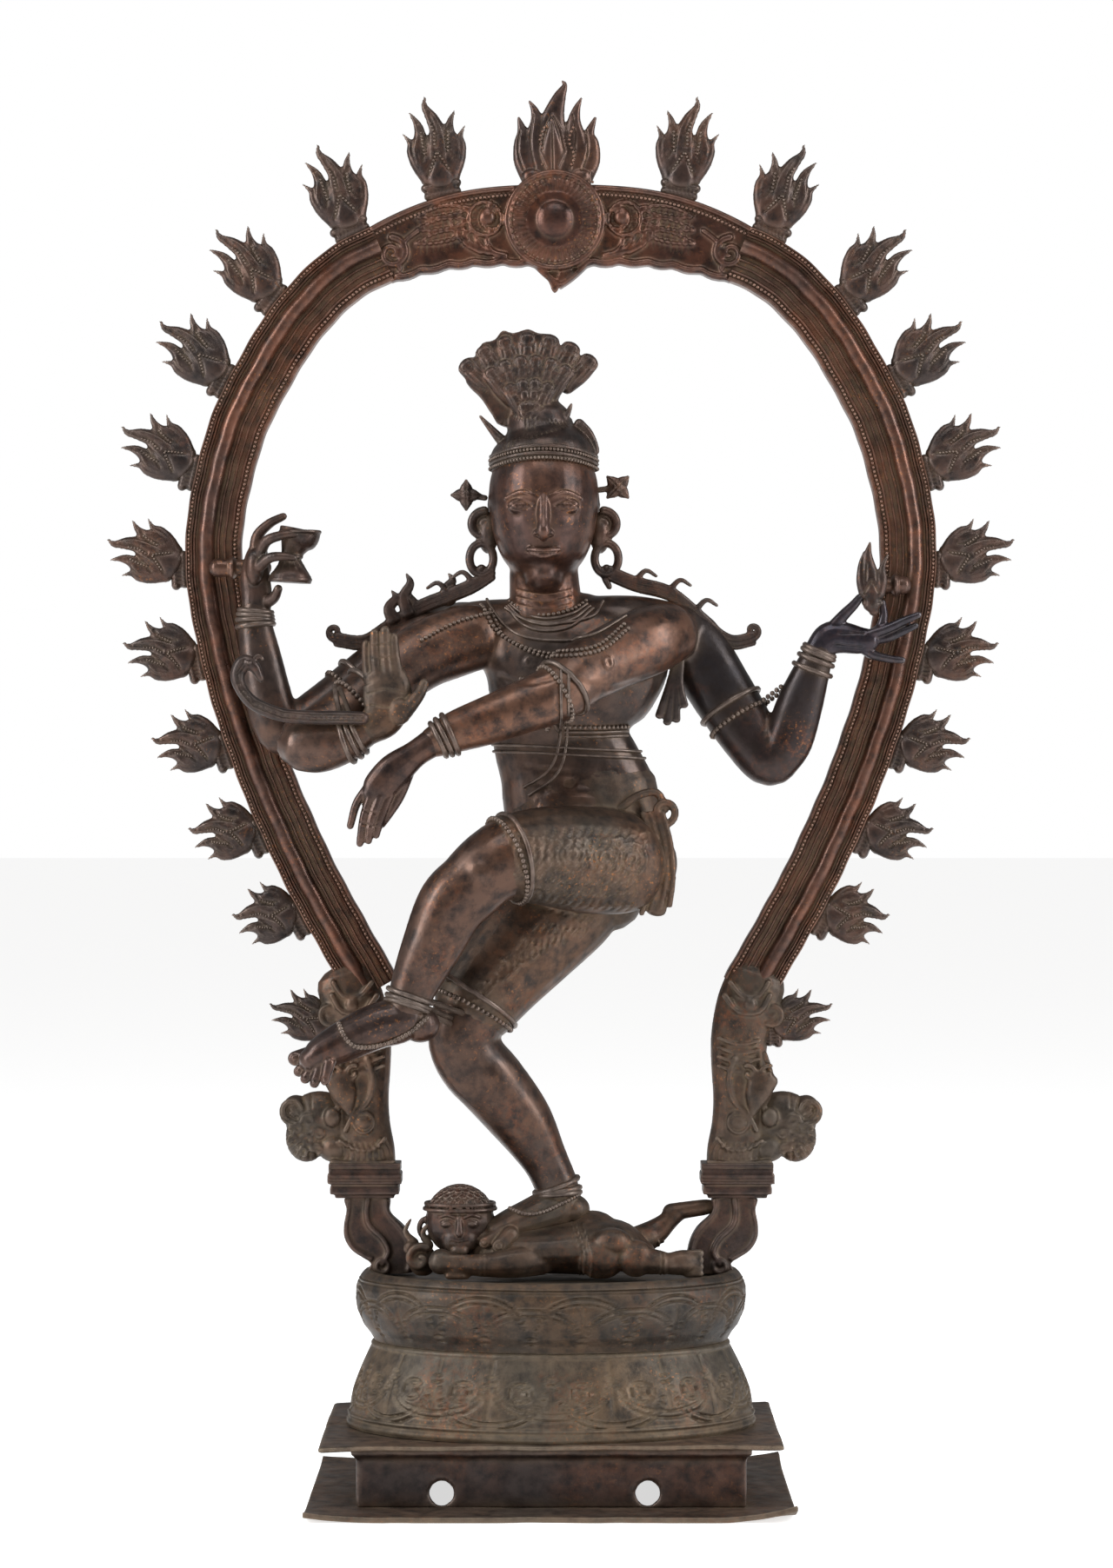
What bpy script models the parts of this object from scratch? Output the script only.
"""Nataraja statue in aged brass: a four-armed dancer inside an arch of flames, on a lotus base.

Sizes are in millimetres, and MM turns them into Blender's metres where a mesh is made.
+Z is up and the statue faces -Y. The origin is on the ground, under the middle of the arch.
"left" and "right" in the base and the arch mean -X and +X. On the dancer's limbs they mean the
dancer's own left and right, so the right arms are on the -X side.
"""
import math

import bmesh
import bpy
import numpy as np
from mathutils import Vector

MM = 0.001
GAP = 0.3                     # clearance between two cast pieces that meet

# Base, from the ground up
BASE_SHIFT = -7.5             # the base stands a little to -X of the arch's middle
FLANGE_LENGTH = 362.0
FLANGE_DEPTH = 292.0
FLANGE_THICKNESS = 4.0
PLINTH_LENGTH = 288.0
PLINTH_DEPTH = 200.0
PLINTH_HEIGHT = 44.0
PLINTH_WALL = 6.0
CORNICE_REACH = 4.0           # how far the strip under the top plate stands out
CORNICE_HEIGHT = 7.0
TOP_PLATE_LENGTH = 342.0
TOP_PLATE_DEPTH = 242.0
TOP_PLATE_THICKNESS = 4.0
POLE_HOLE_RADIUS = 9.2
POLE_HOLE_SPACING = 152.0
POLE_HOLE_HEIGHT = 14.6       # centre of the carrying-pole holes above the ground
LOTUS_FOOT = (155.0, 117.0)   # half length and half depth of the lower lotus at its hem
LOTUS_WAIST = (133.0, 100.0)
LOTUS_BOWL = (147.5, 112.0)   # widest ring of the upper lotus
LOTUS_LOWER_HEIGHT = 64.4
LOTUS_UPPER_HEIGHT = 49.7
LOTUS_WALL = 5.0
DECK_THICKNESS = 5.0

# Arch
ARCH_HALF_WIDTH = 263.7       # middle of the band, where the arch is widest
ARCH_SPRING_HEIGHT = 550.4    # that height above the deck
ARCH_END_HALF_WIDTH = 145.0   # middle of the band where it enters the beasts
ARCH_END_HEIGHT = 221.0
BAND_WIDTH = 44.0
BAND_TAPER = 0.09             # share of its width that the band loses by its lower end
BAND_THICKNESS = 20.0
HEAD_ROOM = 78.0              # from the top of the hair to the middle of the band above it
PANEL_HALF_LENGTH = 140.0     # carved crest panel, measured along the band
PANEL_SWELL_OUT = 10.0        # how much wider than the band the panel is at the crest
PANEL_SWELL_IN = 8.0
PENDANT_DROP = 22.0
MEDALLION_RADIUS = 35.0
MEDALLION_HEIGHT = 6.0
BRACKET_SPACING = 122.0       # half the distance between the arch's brackets on the deck
BRACKET_HALF_WIDTH = 16.5
BRACKET_THICKNESS = 22.0
BRACKET_HEIGHT = 57.0
CAPITAL_SPACING = 141.0       # half the distance between the capitals
CAPITAL_HALF_LENGTH = 28.0
CAPITAL_HALF_DEPTH = 17.0
CAPITAL_HEIGHT = 26.0

# Flames
FLAMES_PER_SIDE = 10          # on each half of the band; one more grows from each beast
FIRST_FLAME = 84.0            # distance of the first flame from the crest, along the band
LAST_FLAME = 67.0             # distance of the last flame from the band's end
TOP_FLAME_LENGTH = 71.0       # the flames shorten evenly from the crest down
LOW_FLAME_LENGTH = 49.0
FLAME_HALF_WIDTH = 17.0
FLAME_THICKNESS = 13.0
COLLAR_HALF_WIDTH = 12.5
COLLAR_HEIGHT = 11.0
FLAME_LEAN = 0.67             # share of the rim's own slope that a flame follows

# Dancer: every station below is given for this height and scales with it
FIGURE_HEIGHT = 716.0         # deck to the top of the hair
STATION_HEIGHT = 716.0
STRUT_RADIUS = 8.0            # struts that tie the rear hands to the arch

DECK = (FLANGE_THICKNESS + PLINTH_HEIGHT + TOP_PLATE_THICKNESS + LOTUS_LOWER_HEIGHT
        + LOTUS_UPPER_HEIGHT + 4 * GAP)
FIGURE = FIGURE_HEIGHT / STATION_HEIGHT


# ---------------------------------------------------------------- materials and meshes

FINISHES = {
    "dark_bronze": ((0.058, 0.040, 0.031), 0.42),
    "copper_brown": ((0.148, 0.062, 0.033), 0.38),
    "dusty_bronze": ((0.110, 0.085, 0.062), 0.55),
    "green_bronze": ((0.085, 0.078, 0.055), 0.50),
}


def material_for(finish):
    """The Principled material of one of the FINISHES, made the first time it is asked for."""
    material = bpy.data.materials.get(finish)
    if material is None:
        colour, roughness = FINISHES[finish]
        material = bpy.data.materials.new(finish)
        material.use_nodes = True
        shader = material.node_tree.nodes["Principled BSDF"]
        shader.inputs["Base Color"].default_value = (*colour, 1.0)
        shader.inputs["Metallic"].default_value = 0.9
        shader.inputs["Roughness"].default_value = roughness
    return material


def add_piece(name, bm, finish):
    """Turn a bmesh in millimetres into a named object in metres with its faces pointing out."""
    bmesh.ops.scale(bm, vec=(MM, MM, MM), verts=bm.verts)
    bmesh.ops.recalc_face_normals(bm, faces=bm.faces)
    bmesh.ops.triangulate(bm, faces=bm.faces)
    mesh = bpy.data.meshes.new(name)
    bm.to_mesh(mesh)
    bm.free()
    mesh.shade_smooth()
    mesh.set_sharp_from_angle(angle=math.radians(35))
    mesh.materials.append(material_for(finish))
    piece = bpy.data.objects.new(name, mesh)
    bpy.context.scene.collection.objects.link(piece)
    return piece


def loft(name, rings, finish):
    """A closed body that runs through rings of equal count, with a flat cap at each end."""
    bm = bmesh.new()
    rows = [[bm.verts.new(point) for point in ring] for ring in rings]
    for low, high in zip(rows, rows[1:]):
        count = len(low)
        for i in range(count):
            j = (i + 1) % count
            bm.faces.new((low[i], low[j], high[j], high[i]))
    bm.faces.new(rows[0])
    bm.faces.new(rows[-1])
    return add_piece(name, bm, finish)


def hoop(name, centre, halves, profile, finish, count=40, closed=True):
    """Carry a profile of (outward, height) points round an oval, or round a rectangle if count is 4.

    A closed profile makes a ring. An open one starts and ends on flat caps, as a dish does.
    """
    bm = bmesh.new()
    turn = 2 * math.pi / count
    start = turn / 2
    stretch = math.sqrt(2) if count == 4 else 1.0
    rows = []
    for outward, height in profile:
        row = []
        for i in range(count):
            angle = start + i * turn
            x = centre[0] + (halves[0] + outward) * math.cos(angle) * stretch
            y = centre[1] + (halves[1] + outward) * math.sin(angle) * stretch
            row.append(bm.verts.new((x, y, height)))
        rows.append(row)
    pairs = list(zip(rows, rows[1:]))
    if closed:
        pairs.append((rows[-1], rows[0]))
    for low, high in pairs:
        for i in range(count):
            j = (i + 1) % count
            bm.faces.new((low[i], low[j], high[j], high[i]))
    if not closed:
        bm.faces.new(rows[0])
        bm.faces.new(rows[-1])
    return add_piece(name, bm, finish)


def slab(name, outline, back, front, finish):
    """Give an outline of (x, z) points its thickness, from y = back to y = front."""
    rings = [[(x, y, z) for x, z in outline] for y in (back, front)]
    return loft(name, rings, finish)


def box(name, centre, size):
    half = [s / 2 for s in size]
    corners = [(-1, -1), (1, -1), (1, 1), (-1, 1)]
    rings = []
    for side in (-1, 1):
        ring = [(centre[0] + i * half[0], centre[1] + j * half[1], centre[2] + side * half[2])
                for i, j in corners]
        rings.append(ring)
    return loft(name, rings, "dark_bronze")


def ellipsoid(name, centre, radii, finish, around=12, rows=8):
    bm = bmesh.new()
    bmesh.ops.create_uvsphere(bm, u_segments=around, v_segments=rows, radius=1.0)
    for vert in bm.verts:
        vert.co = Vector([c + r * v for c, r, v in zip(centre, radii, vert.co)])
    return add_piece(name, bm, finish)


# ---------------------------------------------------------------- smooth runs and limbs

def smooth_run(points, steps):
    """Read a smooth curve through the points, with `steps` pieces between each two."""
    rows = np.array(points, dtype=float)
    padded = np.vstack([2 * rows[0] - rows[1], rows, 2 * rows[-1] - rows[-2]])
    run = []
    for i in range(len(rows) - 1):
        a, b, c, d = padded[i:i + 4]
        for k in range(steps):
            t = k / steps
            run.append(0.5 * (2 * b + (c - a) * t + (2 * a - 5 * b + 4 * c - d) * t ** 2
                              + (3 * b - a - 3 * c + d) * t ** 3))
    run.append(rows[-1])
    return np.array(run)


def section(point, along, across, deep, sides):
    """An oval of `sides` points square to `along`, `deep` on the side nearest the Y axis."""
    along = Vector(along).normalized()
    deep_axis = (Vector((0, 1, 0)) - along * along.y).normalized()
    across_axis = along.cross(deep_axis)
    ring = []
    for i in range(sides):
        angle = 2 * math.pi * (i + 0.5) / sides
        offset = across_axis * (across * math.cos(angle)) + deep_axis * (deep * math.sin(angle))
        ring.append(Vector(point) + offset)
    return ring


def limb_rings(stations, sides, steps):
    """Rings along stations of (x, y, height above the deck, half width, half depth)."""
    rows = smooth_run(stations, steps) * FIGURE
    rows[:, 2] += DECK
    rings = []
    for i, row in enumerate(rows):
        along = rows[min(i + 1, len(rows) - 1)][:3] - rows[max(i - 1, 0)][:3]
        rings.append(section(row[:3], along, row[3], row[4], sides))
    return rings


def limb(name, stations, finish, sides=8, steps=2):
    return loft(name, limb_rings(stations, sides, steps), finish)


def knob(name, centre, radii, finish, around=10, rows=6):
    """An ellipsoid of the dancer, placed like a station."""
    x, y, height = [value * FIGURE for value in centre]
    return ellipsoid(name, (x, y, DECK + height), [r * FIGURE for r in radii], finish, around, rows)


# ---------------------------------------------------------------- cutting and joining

def apply_boolean(host, other, operation):
    modifier = host.modifiers.new(operation, "BOOLEAN")
    modifier.operation = operation
    modifier.solver = "EXACT"
    modifier.object = other
    other.hide_render = True
    other.display_type = "WIRE"
    graph = bpy.context.evaluated_depsgraph_get()
    mesh = bpy.data.meshes.new_from_object(host.evaluated_get(graph))
    host.modifiers.clear()
    host.data = mesh
    bpy.data.objects.remove(other)


def cut(host, *cutters):
    for cutter in cutters:
        apply_boolean(host, cutter, "DIFFERENCE")


def join(host, *others):
    for other in others:
        apply_boolean(host, other, "UNION")
    return host


def seat(host, *guests):
    """Sink a seat into the host for each guest, GAP larger than the guest all over."""
    for guest in guests:
        bm = bmesh.new()
        bm.from_mesh(guest.data)
        bm.normal_update()
        moves = [vert.normal * (GAP * MM * min(vert.calc_shell_factor(), 2.5)) for vert in bm.verts]
        for vert, move in zip(bm.verts, moves):
            vert.co += move
        mesh = bpy.data.meshes.new("seat_cutter")
        bm.to_mesh(mesh)
        bm.free()
        cutter = bpy.data.objects.new("seat_cutter", mesh)
        bpy.context.scene.collection.objects.link(cutter)
        cut(host, cutter)


# ---------------------------------------------------------------- base

def make_base():
    middle = (BASE_SHIFT, 0.0)
    inside_length = PLINTH_LENGTH - 2 * PLINTH_WALL
    inside_depth = PLINTH_DEPTH - 2 * PLINTH_WALL

    flange = box("base_flange", (*middle, FLANGE_THICKNESS / 2),
                 (FLANGE_LENGTH, FLANGE_DEPTH, FLANGE_THICKNESS))
    flange.data.materials[0] = material_for("dusty_bronze")
    cut(flange, box("window", (*middle, 0.0), (inside_length, inside_depth, 4 * FLANGE_THICKNESS)))

    low = FLANGE_THICKNESS + GAP
    top = low + PLINTH_HEIGHT
    profile = [(0.0, low), (0.0, top - CORNICE_HEIGHT), (CORNICE_REACH, top - CORNICE_HEIGHT + 2.0),
               (CORNICE_REACH, top), (-PLINTH_WALL, top), (-PLINTH_WALL, low)]
    halves = (PLINTH_LENGTH / 2, PLINTH_DEPTH / 2)
    plinth = hoop("plinth_box", middle, halves, profile, "dark_bronze", count=4)
    for side in (-1, 1):
        x = BASE_SHIFT - 4.5 + side * POLE_HOLE_SPACING / 2
        ring = [(x + POLE_HOLE_RADIUS * math.cos(a), POLE_HOLE_HEIGHT + POLE_HOLE_RADIUS * math.sin(a))
                for a in [2 * math.pi * i / 16 for i in range(16)]]
        cut(plinth, slab("pole_way", ring, -PLINTH_DEPTH, PLINTH_DEPTH, "dark_bronze"))

    low = top + GAP
    top = low + TOP_PLATE_THICKNESS
    hollow = (LOTUS_WAIST[0] - 2 * LOTUS_WALL, LOTUS_WAIST[1] - 2 * LOTUS_WALL)
    plate = box("plinth_top_plate", (*middle, (low + top) / 2),
                (TOP_PLATE_LENGTH, TOP_PLATE_DEPTH, TOP_PLATE_THICKNESS))
    plate.data.materials[0] = material_for("dusty_bronze")
    cut(plate, hoop("window", middle, hollow, [(0, low - 5), (0, top + 5)], "dark_bronze", closed=False))

    low = top + GAP
    top = low + LOTUS_LOWER_HEIGHT
    make_lotus_lower(middle, low, top)

    low = top + GAP
    rim = low + LOTUS_UPPER_HEIGHT
    belly = low + 0.78 * LOTUS_UPPER_HEIGHT
    reach = LOTUS_BOWL[0] - LOTUS_WAIST[0]
    profile = [(reach - 7.0, rim), (reach - 2.0, rim - 1.5), (reach, belly), (reach * 0.80, belly - 13.0),
               (reach * 0.42, belly - 26.0), (0.0, low), (-LOTUS_WALL, low),
               (reach * 0.42 - LOTUS_WALL, belly - 26.0), (reach - LOTUS_WALL - 1.0, belly - 2.0),
               (reach - LOTUS_WALL - 8.0, rim - DECK_THICKNESS)]
    hoop("lotus_upper", middle, LOTUS_WAIST, profile, "green_bronze", closed=False)


def make_lotus_lower(middle, low, top):
    """The lower lotus: an oval wall that spreads from the waist to its hem."""
    bm = bmesh.new()
    count = 40
    levels = 6
    rows = []
    for inward in (0.0, LOTUS_WALL):
        wall = []
        for i in range(levels + 1):
            share = i / levels
            spread = math.sin(share * math.pi / 2) ** 1.6
            halves = [w + (f - w) * spread - inward for w, f in zip(LOTUS_WAIST, LOTUS_FOOT)]
            height = top + (low - top) * share
            wall.append([(middle[0] + halves[0] * math.cos(2 * math.pi * k / count),
                          middle[1] + halves[1] * math.sin(2 * math.pi * k / count), height)
                         for k in range(count)])
        rows.extend(wall if inward == 0.0 else reversed(wall))
    verts = [[bm.verts.new(point) for point in row] for row in rows]
    for i, row in enumerate(verts):
        following = verts[(i + 1) % len(verts)]
        for k in range(count):
            n = (k + 1) % count
            bm.faces.new((row[k], row[n], following[n], following[k]))
    return add_piece("lotus_lower", bm, "green_bronze")


# ---------------------------------------------------------------- arch

def arch_centreline():
    """Points (x, height) of the band's middle from the crest to its +X end, close together."""
    crest = FIGURE_HEIGHT + HEAD_ROOM
    rise = crest - ARCH_SPRING_HEIGHT
    shoulder = [(0.0, 1.0), (0.303, 0.984), (0.5685, 0.897), (0.713, 0.7475), (0.862, 0.5275),
                (0.9515, 0.30), (1.0, 0.0)]
    points = [(x * ARCH_HALF_WIDTH, ARCH_SPRING_HEIGHT + z * rise) for x, z in shoulder]
    drop = ARCH_SPRING_HEIGHT - ARCH_END_HEIGHT
    draw_in = ARCH_HALF_WIDTH - ARCH_END_HALF_WIDTH
    for share in (0.2, 0.4, 0.6, 0.8, 1.0):
        points.append((ARCH_HALF_WIDTH - draw_in * share ** 1.7, ARCH_SPRING_HEIGHT - drop * share))
    mirrored = [(-x, z) for x, z in points[1:3]][::-1]
    run = smooth_run(mirrored + points, 12)
    return run[2 * 12:]


CENTRELINE = arch_centreline()
STEPS_ALONG = np.hypot(*np.diff(CENTRELINE, axis=0).T)
DISTANCES = np.concatenate([[0.0], np.cumsum(STEPS_ALONG)])
BAND_LENGTH = float(DISTANCES[-1])


def arch_at(distance, outward=0.0, side=1):
    """A place on the arch: distance from the crest along the band, and offset outward from it.

    Returns its (x, z), and the band's direction and outward normal there, as (x, z) pairs.
    """
    x = np.interp(distance, DISTANCES, CENTRELINE[:, 0])
    z = np.interp(distance, DISTANCES, CENTRELINE[:, 1])
    ahead = min(distance + 6.0, BAND_LENGTH)
    behind = max(distance - 6.0, 0.0)
    dx = np.interp(ahead, DISTANCES, CENTRELINE[:, 0]) - np.interp(behind, DISTANCES, CENTRELINE[:, 0])
    dz = np.interp(ahead, DISTANCES, CENTRELINE[:, 1]) - np.interp(behind, DISTANCES, CENTRELINE[:, 1])
    if distance == 0.0:
        dz = 0.0
    size = math.hypot(dx, dz)
    along = (side * dx / size, dz / size)
    normal = (-side * dz / size, dx / size)
    return (side * x + outward * normal[0], DECK + z + outward * normal[1]), along, normal


def band_taper(distance):
    """The band's width at a distance from the crest, as a share of BAND_WIDTH."""
    share = (distance - PANEL_HALF_LENGTH) / (BAND_LENGTH - PANEL_HALF_LENGTH)
    return 1.0 - BAND_TAPER * max(share, 0.0)


def make_band(name, side):
    """Half of the arch band: a raised rib with a flat margin on each side of it."""
    half = BAND_WIDTH / 2
    back = BAND_THICKNESS / 2
    margin = -0.62 * back
    profile = [(half, back), (half, margin), (0.55 * half, margin - 0.6), (0.40 * half, -back),
               (0.05 * half, -back - 1.6), (-0.20 * half, margin - 1.0), (-half, margin), (-half, back)]
    first = PANEL_HALF_LENGTH + GAP
    count = 22
    rings = []
    for i in range(count + 1):
        distance = first + (BAND_LENGTH - first) * i / count
        ring = []
        for outward, y in profile:
            (x, z), _, _ = arch_at(distance, outward * band_taper(distance), side)
            ring.append((x, y, z))
        rings.append(ring)
    return loft(name, rings, "copper_brown")


def make_crest_panel():
    """Carved panel over the head, with a round medallion in front and a pendant leaf below."""
    outer = []
    inner = []
    steps = 8
    for i in range(-steps, steps + 1):
        share = abs(i) / steps
        side = 1 if i >= 0 else -1
        distance = share * PANEL_HALF_LENGTH
        swell = 1.0 - share ** 2
        outer.append(arch_at(distance, BAND_WIDTH / 2 + PANEL_SWELL_OUT * swell, side)[0])
        inner.append(arch_at(distance, -BAND_WIDTH / 2 - PANEL_SWELL_IN * swell, side)[0])
    tip = inner[steps]
    inner[steps] = (tip[0], tip[1] - PENDANT_DROP)
    outline = outer + inner[::-1]
    panel = slab("crest_panel", outline, BAND_THICKNESS / 2, -BAND_THICKNESS / 2 + 1.0, "copper_brown")
    (x, z), _, _ = arch_at(0.0)
    face = -BAND_THICKNESS / 2 - MEDALLION_HEIGHT
    rings = []
    for radius, y in ((MEDALLION_RADIUS - 6.0, 0.0), (MEDALLION_RADIUS - 6.0, face + 3.0),
                      (MEDALLION_RADIUS / 2, face)):
        ring = [(x + radius * math.cos(2 * math.pi * k / 20), y, z + radius * math.sin(2 * math.pi * k / 20))
                for k in range(20)]
        rings.append(ring)
    return join(panel, loft("medallion", rings, "copper_brown"))


def make_flame(name, root, along, normal, side, length, finish="dark_bronze"):
    """A flame on the rim: a collar square to the rim, then a bulb of three tongues that leans up."""
    slope = math.atan2(side * normal[0], normal[1])
    lean = slope * FLAME_LEAN
    ahead = (side * math.sin(lean), math.cos(lean))
    above = (-side * math.cos(lean), math.sin(lean))
    body = length - COLLAR_HEIGHT
    half = FLAME_HALF_WIDTH
    tongues = [(0.00, -0.66), (0.14, -0.94), (0.31, -1.0), (0.52, -0.98), (0.71, -0.94), (0.52, -0.62),
               (0.45, -0.44), (0.66, -0.24), (0.83, -0.06), (1.0, 0.18), (0.83, 0.21), (0.66, 0.29),
               (0.47, 0.44), (0.53, 0.65), (0.64, 0.86), (0.47, 0.95), (0.31, 1.0), (0.14, 0.94),
               (0.00, 0.66)]
    start = (root[0] + normal[0] * COLLAR_HEIGHT, root[1] + normal[1] * COLLAR_HEIGHT)
    outline = []
    for along_share, across_share in tongues:
        v = along_share * body
        w = across_share * half
        outline.append((start[0] + ahead[0] * v + above[0] * w, start[1] + ahead[1] * v + above[1] * w))
    foot_below = (root[0] + normal[0] * GAP + along[0] * COLLAR_HALF_WIDTH,
                  root[1] + normal[1] * GAP + along[1] * COLLAR_HALF_WIDTH)
    foot_above = (root[0] + normal[0] * GAP - along[0] * COLLAR_HALF_WIDTH,
                  root[1] + normal[1] * GAP - along[1] * COLLAR_HALF_WIDTH)
    outline = [foot_above, foot_below] + outline
    return slab(name, outline, FLAME_THICKNESS / 2, -FLAME_THICKNESS / 2, finish)


def make_flames(side, side_name):
    """The flames of one half of the band, spaced evenly, each on its own stretch of the rim."""
    spacing = (BAND_LENGTH - FIRST_FLAME - LAST_FLAME) / (FLAMES_PER_SIDE - 1)
    for number in range(FLAMES_PER_SIDE):
        distance = FIRST_FLAME + number * spacing
        rim = BAND_WIDTH / 2 * band_taper(distance)
        on_panel = distance < PANEL_HALF_LENGTH
        seat_starts = distance if on_panel else distance - COLLAR_HALF_WIDTH - GAP
        if seat_starts < PANEL_HALF_LENGTH:
            rim += PANEL_SWELL_OUT * (1.0 - (seat_starts / PANEL_HALF_LENGTH) ** 2) + 0.5
        root, along, normal = arch_at(distance, rim, side)
        share = number / (FLAMES_PER_SIDE - 1)
        length = TOP_FLAME_LENGTH + (LOW_FLAME_LENGTH - TOP_FLAME_LENGTH) * share
        make_flame("flame_%s_%02d" % (side_name, number + 1), root, along, normal, side, length)


def make_crest_flame():
    """The five-tongued flame on top of the arch."""
    (x, z), _, _ = arch_at(0.0, BAND_WIDTH / 2 + PANEL_SWELL_OUT)
    z += GAP
    outline = [(-25, 0), (25, 0), (24, 10), (30, 22), (31, 38), (33, 49), (25, 45), (20, 38), (21, 52),
               (22, 65), (14, 56), (9, 46), (9, 60), (9, 72), (7, 79), (0, 70), (-7, 58), (-9, 46),
               (-13, 53), (-18, 61), (-21, 50), (-22, 41), (-27, 46), (-32, 51), (-31, 36), (-29, 22),
               (-24, 10)]
    return slab("crest_flame", [(x + u, z + v) for u, v in outline], 8.0, -8.0, "copper_brown")


def make_bracket(name, side):
    """The S-shaped bracket that carries one end of the arch on the deck."""
    x = BASE_SHIFT
    low = DECK + GAP
    shift = CAPITAL_SPACING - BRACKET_SPACING
    path = [(BRACKET_SPACING, 0.0, 1.15), (BRACKET_SPACING + 0.15 * shift, 0.20, 1.12),
            (BRACKET_SPACING + 0.70 * shift, 0.45, 1.08), (CAPITAL_SPACING + 1.0, 0.72, 1.0),
            (CAPITAL_SPACING - 1.0, 1.0, 1.0)]
    run = smooth_run(path, 2)
    near = [(x + side * (row[0] - row[2] * BRACKET_HALF_WIDTH), low + row[1] * BRACKET_HEIGHT) for row in run]
    far = [(x + side * (row[0] + row[2] * BRACKET_HALF_WIDTH), low + row[1] * BRACKET_HEIGHT) for row in run]
    outline = near + far[::-1]
    return slab(name, outline, BRACKET_THICKNESS / 2, -BRACKET_THICKNESS / 2, "dark_bronze")


def make_capital(name, side):
    """The stepped block between the bracket and the beast."""
    low = DECK + 2 * GAP + BRACKET_HEIGHT
    steps = [(-5.0, 0.0), (-1.0, 0.12), (0.0, 0.45), (-4.0, 0.50), (-4.0, 0.62), (0.0, 0.68), (0.0, 1.0)]
    profile = [(reach, low + share * CAPITAL_HEIGHT) for reach, share in steps]
    centre = (BASE_SHIFT + side * CAPITAL_SPACING, 0.0)
    return hoop(name, centre, (CAPITAL_HALF_LENGTH, CAPITAL_HALF_DEPTH), profile, "dark_bronze",
                count=4, closed=False)


def make_beast(name, side, flame_name):
    """The makara that swallows the band's end: an upright body, a curled head lobe and a flame."""
    low = DECK + 3 * GAP + BRACKET_HEIGHT + CAPITAL_HEIGHT
    (end_x, end_z), along, _ = arch_at(BAND_LENGTH, 0.0, side)
    top = (end_x + along[0] * GAP, end_z + along[1] * GAP)
    neck = (end_x + along[0] * 14.0, end_z + along[1] * 14.0)
    foot_x = BASE_SHIFT + side * CAPITAL_SPACING
    rise = neck[1] - low
    body = [(foot_x, low, 27.0, 15.0), (foot_x, low + 0.10 * rise, 25.0, 15.0),
            (foot_x - side * 1.0, low + 0.30 * rise, 21.0, 14.0),
            (foot_x - side * 3.0, low + 0.55 * rise, 20.0, 13.0),
            (foot_x, low + 0.80 * rise, 26.0, 14.0), (neck[0], neck[1], 24.0, 14.0),
            (top[0], top[1], 20.0, 12.0)]
    run = smooth_run(body, 2)
    rings = []
    for i, (x, z, across, deep) in enumerate(run):
        direction = run[min(i + 1, len(run) - 1)][:2] - run[max(i - 1, 0)][:2]
        if i >= len(run) - 3:
            direction = (-along[0], -along[1])
        if i == 0:
            direction = (0.0, 1.0)
        rings.append(section((x, 0.0, z), (direction[0], 0.0, direction[1]), across, deep, 10))
    beast = loft(name, rings, "green_bronze")
    lobe = ellipsoid("lobe", (foot_x + side * 38.0, 0.0, low + 26.0), (22.0, 12.5, 27.0), "green_bronze")
    curl = ellipsoid("curl", (foot_x + side * 23.0, 0.5, low + 0.89 * rise), (13.0, 10.0, 13.0),
                     "green_bronze", 8, 6)
    join(beast, lobe, curl)
    root = (foot_x + side * 22.0, low + 0.80 * rise)
    flame = make_flame(flame_name, root, (0.0, -1.0), (side * 1.0, 0.0), side, LOW_FLAME_LENGTH,
                       "green_bronze")
    seat(beast, flame)
    return beast


def make_arch():
    make_crest_panel()
    make_crest_flame()
    for side, side_name in ((-1, "left"), (1, "right")):
        make_bracket("arch_bracket_" + side_name, side)
        make_capital("capital_" + side_name, side)
        make_beast("makara_" + side_name, side, "flame_%s_%02d" % (side_name, FLAMES_PER_SIDE + 1))
        make_band("arch_band_" + side_name, side)
        make_flames(side, side_name)


# ---------------------------------------------------------------- the prone figure underfoot

def make_prone_figure():
    """The small figure that lies on the deck under the dancer's standing foot."""
    floor = GAP / FIGURE
    trunk = [(-56, -25, 17, 12, 20), (-40, -25, 18.0, 15, 28), (-12, -25, 19.5, 17.5, 33),
             (22, -25, 21.0, 19.0, 33), (45, -25, 19.5, 17.5, 31), (66, -27, 14, 12.5, 25),
             (80, -34, 11.0, 9.5, 15), (90, -38, 9.5, 8.0, 12)]
    body = limb("demon_body", trunk, "green_bronze", sides=10)
    raised = limb("raised_shank", [(52, -5, 18, 10, 10), (68, 4, 26, 8, 9), (88, 5, 38, 7, 7),
                                   (107, 5, 43, 5, 6)], "green_bronze")
    forearm = limb("forearm", [(-20, -48, 12, 8, 9), (-50, -55, 11, 7.5, 8), (-78, -55, 12, 7, 8),
                               (-92, -54, 18, 9, 8)], "green_bronze")
    join(body, raised, forearm)
    ground = box("ground", (0.0, 0.0, DECK - 50.0 + floor), (600.0, 400.0, 100.0))
    cut(body, ground)
    head = knob("demon_head", (-76, -25, 44.5), (28, 25, 28.5), "dark_bronze", 12, 8)
    return body, head


# ---------------------------------------------------------------- the dancer

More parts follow.
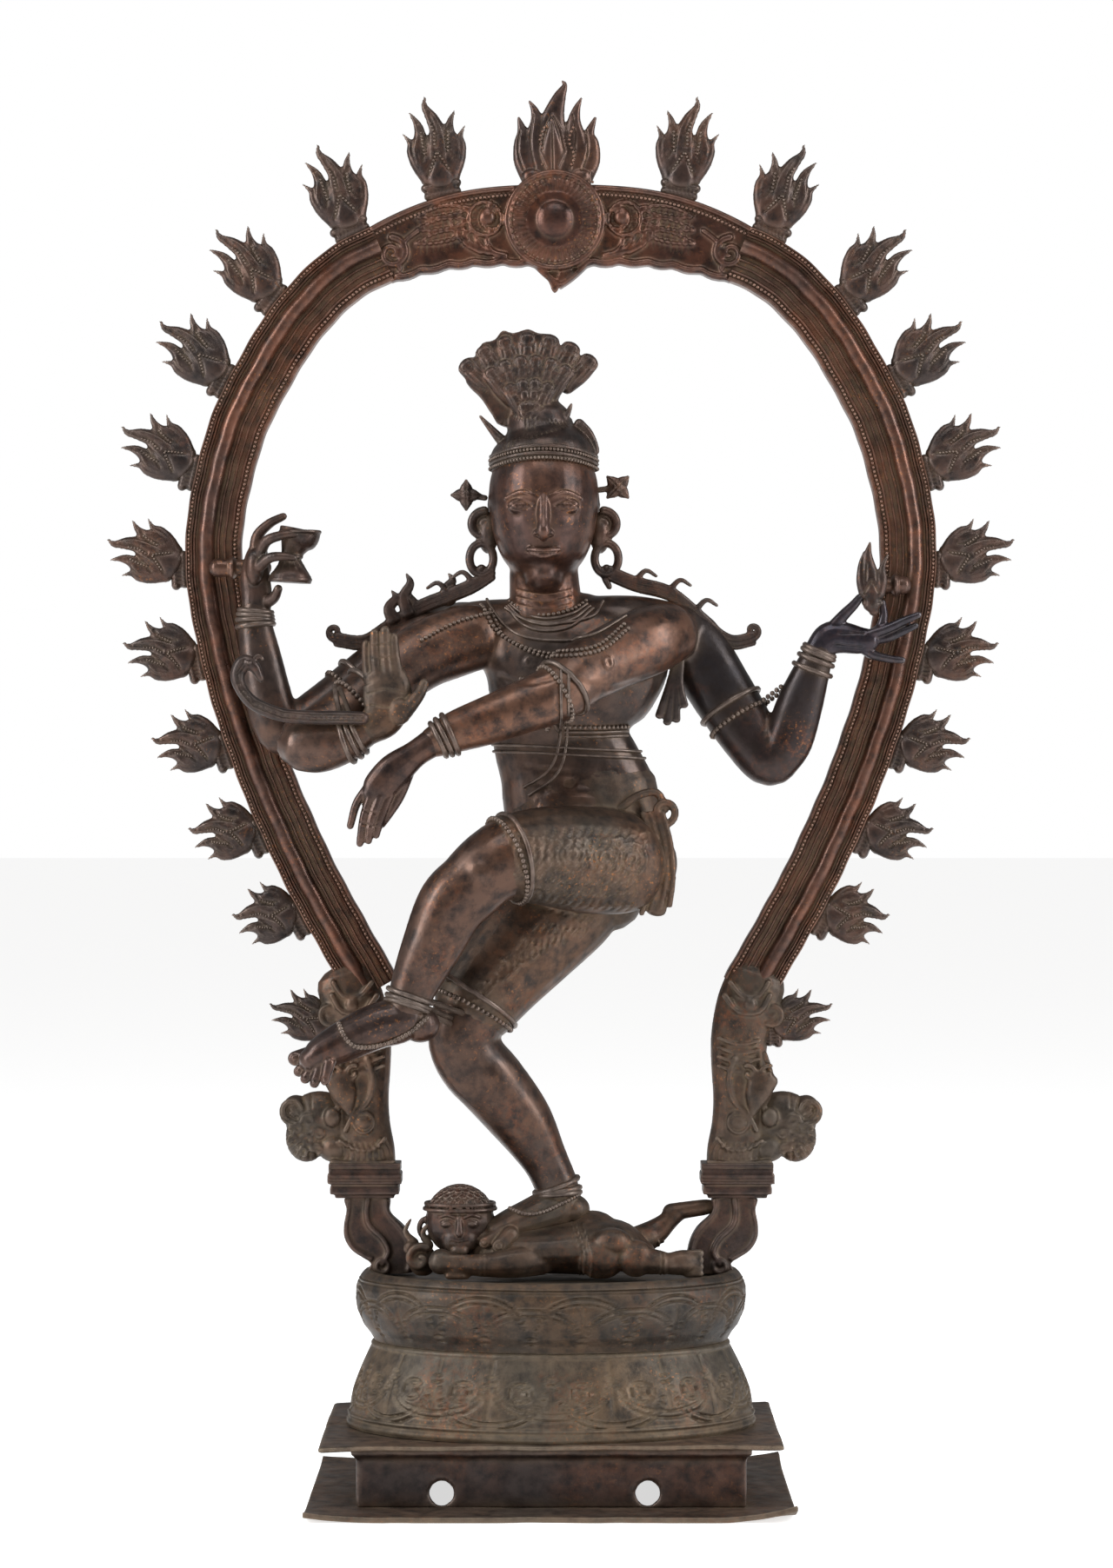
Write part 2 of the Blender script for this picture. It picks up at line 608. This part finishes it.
def make_trunk():
    """Chest, waist and hips, from the neck down to the seat of the raised thigh."""
    stations = [(-10, -11, 508, 30, 24), (2, -12, 497, 52, 29), (9, -13, 484, 74, 33),
                (8, -15, 464, 74, 37), (5, -15, 445, 67, 37), (0, -14, 425, 55, 33),
                (-2, -12, 405, 49.5, 29), (6, -12, 383, 54, 31), (14, -12, 359, 58.5, 34),
                (20, -12, 339, 56.5, 36), (25, -10, 317, 54, 36), (31, -10, 295, 43, 32),
                (35, -10, 281, 27, 21)]
    return limb("torso", stations, "green_bronze", sides=12, steps=1)


def make_head():
    """Head and neck with long ears; the hair, diadem and ear flowers are pieces of their own."""
    stations = [(-11, -12, 496, 31, 25), (-12, -12, 512, 26.5, 24), (-12.5, -13, 522, 26, 25),
                (-13, -18, 530, 33, 36), (-13, -20, 546, 41, 46), (-13, -20, 577, 43, 49),
                (-13, -18, 602, 41.5, 47), (-13, -16, 619, 35, 41), (-13, -15, 629, 22, 27)]
    head = limb("head", stations, "copper_brown", sides=12, steps=1)
    for x in (-57.5, 32.5):
        join(head, knob("ear", (x, -10, 557), (6, 9, 25), "copper_brown", 8, 6))
    return head


def make_hair():
    """A fan of lobed locks that rises from a low dome on the crown."""
    middle = (-21.0, 628.0)
    lobes = 8
    first, last = math.radians(-62), math.radians(33)
    outline = [(8.0, 626.0)]
    for i in range(2 * lobes + 1):
        angle = last + (first - last) * i / (2 * lobes)
        reach = 79.0 if i % 2 else 71.0
        upright = 1.0 + 0.11 * math.cos(angle) ** 2
        outline.append((middle[0] + reach * math.sin(angle) * 0.93,
                        middle[1] + reach * math.cos(angle) * upright))
    outline.append((-44.0, 626.0))
    points = [(x * FIGURE, DECK + z * FIGURE) for x, z in outline]
    fan = slab("hair_fan", points, 3.0 * FIGURE, -12.0 * FIGURE, "dark_bronze")
    dome = knob("dome", (-17, -10, 632), (30, 29, 13), "dark_bronze", 12, 6)
    return join(fan, dome)


def make_diadem():
    profile = [(0.0, -5.0), (2.5, -4.0), (2.5, 4.5), (-3.5, 6.0), (-4.0, -5.0)]
    centre = (-13 * FIGURE, -17 * FIGURE)
    halves = (39.5 * FIGURE, 45.0 * FIGURE)
    heights = [(reach * FIGURE, DECK + (615.0 + rise) * FIGURE) for reach, rise in profile]
    return hoop("diadem", centre, halves, heights, "dusty_bronze", count=24)


def make_ear_flower(name, x, height, side):
    """A six-petalled flower that stands out beside the ear on a short stem."""
    outline = []
    for i in range(12):
        angle = math.pi * i / 6
        reach = 9.8 if i % 2 else 6.5
        outline.append(((x + reach * math.cos(angle)) * FIGURE,
                        DECK + (height + reach * math.sin(angle)) * FIGURE))
    flower = slab(name, outline, -15.0 * FIGURE, -21.0 * FIGURE, "dusty_bronze")
    stem = limb("stem", [(x, -18, height, 4.5, 2.6), (x - side * 17, -18, height, 5, 2.6)], "dusty_bronze", 6)
    return join(flower, stem)


def make_rear_right_arm():
    stations = [(-60, 6, 484, 25, 17), (-78, 6, 482, 27, 17), (-105, 2, 474, 27.5, 17),
                (-137, -6, 454, 25, 17), (-172, -20, 428, 22.5, 17), (-203, -31, 410, 19.5, 16),
                (-214, -33, 418, 19, 15.5), (-219.8, -32, 437, 17.5, 14.5), (-225.7, -30, 465, 15.8, 13),
                (-230, -28, 490, 13, 11.5), (-229.6, -28, 506, 11, 8), (-228, -27, 520, 12.5, 7.5),
                (-231, -27, 538, 11, 7), (-228, -28, 554, 9, 6), (-218, -29, 566, 6.5, 5),
                (-208, -30, 572, 3.5, 3.5)]
    return limb("rear_right_arm", stations, "dark_bronze", steps=1)


def make_drum():
    """The hourglass drum held by the rear right hand: two heads and a narrow waist."""
    stations = [(-202.8, -37, 523, 16), (-202.8, -37, 528, 17), (-203.8, -36, 543, 9), (-197, -36, 556, 16),
                (-195.6, -36, 561, 15)]
    rings = []
    for x, y, height, radius in stations:
        ring = []
        for i in range(14):
            angle = 2 * math.pi * i / 14
            ring.append((FIGURE * (x + radius * math.cos(angle)),
                         FIGURE * (y + 0.8 * radius * math.sin(angle)),
                         DECK + FIGURE * (height + 2.5 * math.sin(angle))))
        rings.append(ring)
    return loft("drum", rings, "dark_bronze")


def make_front_right_arm():
    """The raised palm: the forearm folds back across the elbow and the hand stands upright."""
    stations = [(-62, -26, 482, 25, 15), (-82, -32, 476, 26, 16), (-108, -42, 464, 25, 17),
                (-146, -58, 434, 22.5, 19), (-180, -74, 408, 21, 20), (-192, -82, 401, 20, 19),
                (-178, -88, 400, 21, 18), (-160, -92, 403, 17, 15), (-142, -94, 410, 12, 11),
                (-130, -94, 420, 18, 9), (-126, -93, 436, 22, 8.5), (-129, -93, 452, 20, 7),
                (-131, -93, 468, 15, 5.5), (-131, -93, 484, 9, 4)]
    return limb("front_right_arm", stations, "dark_bronze", steps=1)


def make_cobra():
    """The small cobra over the front right forearm, with its hood raised at the outer end."""
    stations = [(-148, -104, 420, 5, 5), (-163, -106, 420, 5.2, 5), (-177, -105, 420, 5.2, 5),
                (-205, -104, 421.5, 5.1, 5), (-228, -108, 432, 5.1, 5), (-238, -104, 446, 4.6, 5),
                (-235, -104, 459, 4.2, 5), (-225, -104, 456, 6, 5), (-221, -104, 447, 4, 4)]
    return limb("cobra", stations, "dark_bronze", sides=6, steps=2)


def make_front_left_arm():
    """The arm that crosses the chest and lets its hand hang over the raised foot."""
    stations = [(84, -26, 485, 22, 17), (66, -42, 478, 25, 19), (42, -58, 466, 24, 21),
                (18, -76, 452, 23, 20), (0, -90, 442, 21, 18), (-20, -98, 433, 17, 15),
                (-54, -102, 417, 15.6, 14), (-78, -104, 405, 13.5, 12.5), (-97, -104, 395, 10.5, 10.5),
                (-110, -104, 388, 10.5, 9.5), (-123, -104, 376, 14.5, 8.5), (-133, -104, 361, 12.5, 7.5),
                (-141, -104, 347, 8, 6), (-147, -104, 331, 4, 4)]
    return limb("front_left_arm", stations, "copper_brown", steps=1)


def make_rear_left_arm():
    stations = [(82, 2, 486, 22, 18), (98, 0, 478, 25, 19), (122, -6, 440, 24.4, 19),
                (142, -14, 408, 22.4, 18), (156, -20, 388, 19, 16), (165, -22, 393, 18, 15.5),
                (172, -23, 406, 19, 15), (181.5, -25, 435, 17.2, 14), (194.6, -27, 467, 12, 11),
                (204.3, -28, 481, 10, 8), (217, -28, 491, 11, 7), (233, -28, 498, 10.5, 6.5),
                (250, -28, 503, 9, 5.5), (268, -28, 507, 5, 4)]
    return limb("rear_left_arm", stations, "dark_bronze", steps=1)


def make_hand_flame():
    """The flame held up by the rear left hand: a cup and three tongues."""
    outline = [(-7, 0), (7, 0), (9.5, 8), (8.5, 19), (11.5, 40), (5, 28), (3.0, 24), (2.0, 40), (-1.5, 53),
               (-3.5, 38), (-3.0, 24), (-5.5, 36), (-7.0, 20), (-9.5, 9)]
    points = [((234.6 + u) * FIGURE, DECK + (501.0 + v) * FIGURE) for u, v in outline]
    return slab("hand_flame", points, -24.0 * FIGURE, -36.0 * FIGURE, "dark_bronze")


def make_raised_leg():
    """The leg that swings across: thigh to the -X side, shank down, foot pointing out."""
    stations = [(62, -34, 311, 28, 22), (50, -42, 311, 35, 29), (22.7, -54, 313.7, 37.7, 34),
                (-8, -72, 317, 35.5, 33), (-34, -88, 317, 31, 29), (-52, -95, 309, 27.5, 26),
                (-66, -97, 296, 26.5, 24), (-81, -98, 281, 25.8, 23), (-95, -98, 252, 22.5, 20),
                (-106, -97, 228, 18.6, 17), (-113, -97, 210, 16.7, 16), (-121, -99, 196, 19, 17),
                (-144, -102, 188, 17, 16), (-168, -106, 176.5, 15.5, 13), (-188, -110, 165, 8, 8)]
    leg = limb("raised_leg", stations, "copper_brown", sides=10, steps=1)
    heel = knob("heel", (-104, -94, 194), (15, 14, 14), "copper_brown", 8, 6)
    return join(leg, heel)


def make_standing_leg():
    """The bent leg that carries the dancer, with its foot flat on the prone figure."""
    stations = [(14, -12, 296, 34, 27), (6.6, -15, 283, 39, 31), (-23, -25, 254, 38, 33),
                (-46, -33, 228, 33.5, 30), (-64, -40, 205, 29.5, 28), (-73, -42, 181, 27, 26),
                (-66, -39, 162, 27, 26), (-52, -36, 146, 26.5, 24), (-29.5, -28, 117, 23.6, 21),
                (-12, -23, 87, 17.1, 16), (-3.5, -21, 68, 17, 16), (-1, -21, 54, 19, 17),
                (-18, -25, 45, 15, 18), (-40, -30, 34, 11, 17), (-58, -34, 26, 5, 12)]
    leg = limb("standing_leg", stations, "green_bronze", sides=10, steps=1)
    heel = knob("heel", (8, -21, 52), (14, 14, 11), "green_bronze", 8, 6)
    return join(leg, heel)


def make_scarf(name, stations):
    return limb(name, stations, "dark_bronze", sides=6, steps=2)


def make_strut(name, hand, side):
    """A round strut from a rear hand, or what it holds, to the flat margin of the band behind it."""
    height = DECK + hand[2] * FIGURE
    nearest = int(np.argmin(np.abs(CENTRELINE[:, 1] - hand[2] * FIGURE)))
    band_x = side * CENTRELINE[nearest, 0] - side * 0.31 * BAND_WIDTH
    margin = -0.62 * BAND_THICKNESS / 2 - 1.0
    start = Vector((hand[0] * FIGURE, hand[1] * FIGURE, height))
    end = Vector((band_x, margin - GAP, height))
    rings = []
    for point, radius in ((start, 0.8), (start.lerp(end, 0.5), 0.8), (end, 1.0)):
        ring = []
        for i in range(10):
            angle = 2 * math.pi * i / 10
            ring.append((point.x + radius * STRUT_RADIUS * math.cos(angle), point.y,
                         point.z + radius * STRUT_RADIUS * math.sin(angle)))
        rings.append(ring)
    return loft(name, rings, "copper_brown")


def make_dancer():
    """Make the dancer's pieces, then sink a seat in each one for those that are set into it.

    A piece makes its seats in others before any is cut in it, while its own surface is still whole.
    """
    demon_body, demon_head = make_prone_figure()
    torso = make_trunk()
    head = make_head()
    hair = make_hair()
    diadem = make_diadem()
    flower_right = make_ear_flower("ear_flower_right", -70.9, 590.0, -1)
    flower_left = make_ear_flower("ear_flower_left", 41.3, 595.0, 1)
    rear_right = make_rear_right_arm()
    drum = make_drum()
    front_right = make_front_right_arm()
    cobra = make_cobra()
    front_left = make_front_left_arm()
    rear_left = make_rear_left_arm()
    hand_flame = make_hand_flame()
    raised = make_raised_leg()
    standing = make_standing_leg()
    scarf_left = make_scarf("scarf_left", [(39, -8, 530, 4, 4), (56, -8, 524, 4, 4), (82, -8, 516, 4, 4),
                                           (102, -5, 500, 4.5, 5), (119, -3, 484, 4, 5),
                                           (131, -2, 477, 4, 4), (146, -2, 481, 3.5, 4)])
    scarf_right = make_scarf("scarf_right", [(-55, -8, 522, 4, 4), (-69, -8, 523, 4, 4),
                                             (-85, -5, 512, 4, 4), (-108, -2, 504, 4.5, 5),
                                             (-132, -4, 489, 5, 5), (-147, -6, 477, 4.5, 5),
                                             (-158, -6, 474, 4, 4), (-170, -6, 480, 3.5, 4)])
    sash = make_scarf("hip_sash", [(69, -42, 345, 8, 5), (75, -46, 325, 8.5, 5), (76, -46, 303, 8, 5),
                                   (71, -44, 276, 7, 4.5)])
    strut_left = make_strut("arch_strut_left", (-233, -28, 534), -1)
    make_strut("arch_strut_right", (243, -24 + GAP, 521), 1)

    seat(torso, head, front_right, rear_right, front_left, rear_left, raised, standing)
    seat(torso, scarf_left, scarf_right, sash)
    seat(demon_body, demon_head, standing)
    seat(demon_head, standing)
    seat(head, diadem, hair, flower_right, flower_left)
    seat(diadem, hair)
    seat(standing, raised)
    seat(raised, sash)
    seat(rear_right, front_right, drum, scarf_right, strut_left)
    seat(rear_left, front_left, hand_flame, scarf_left)
    seat(front_right, cobra, scarf_right)
    seat(front_left, scarf_left)


def main():
    for existing in list(bpy.data.objects):
        bpy.data.objects.remove(existing)
    make_base()
    make_arch()
    make_dancer()


main()
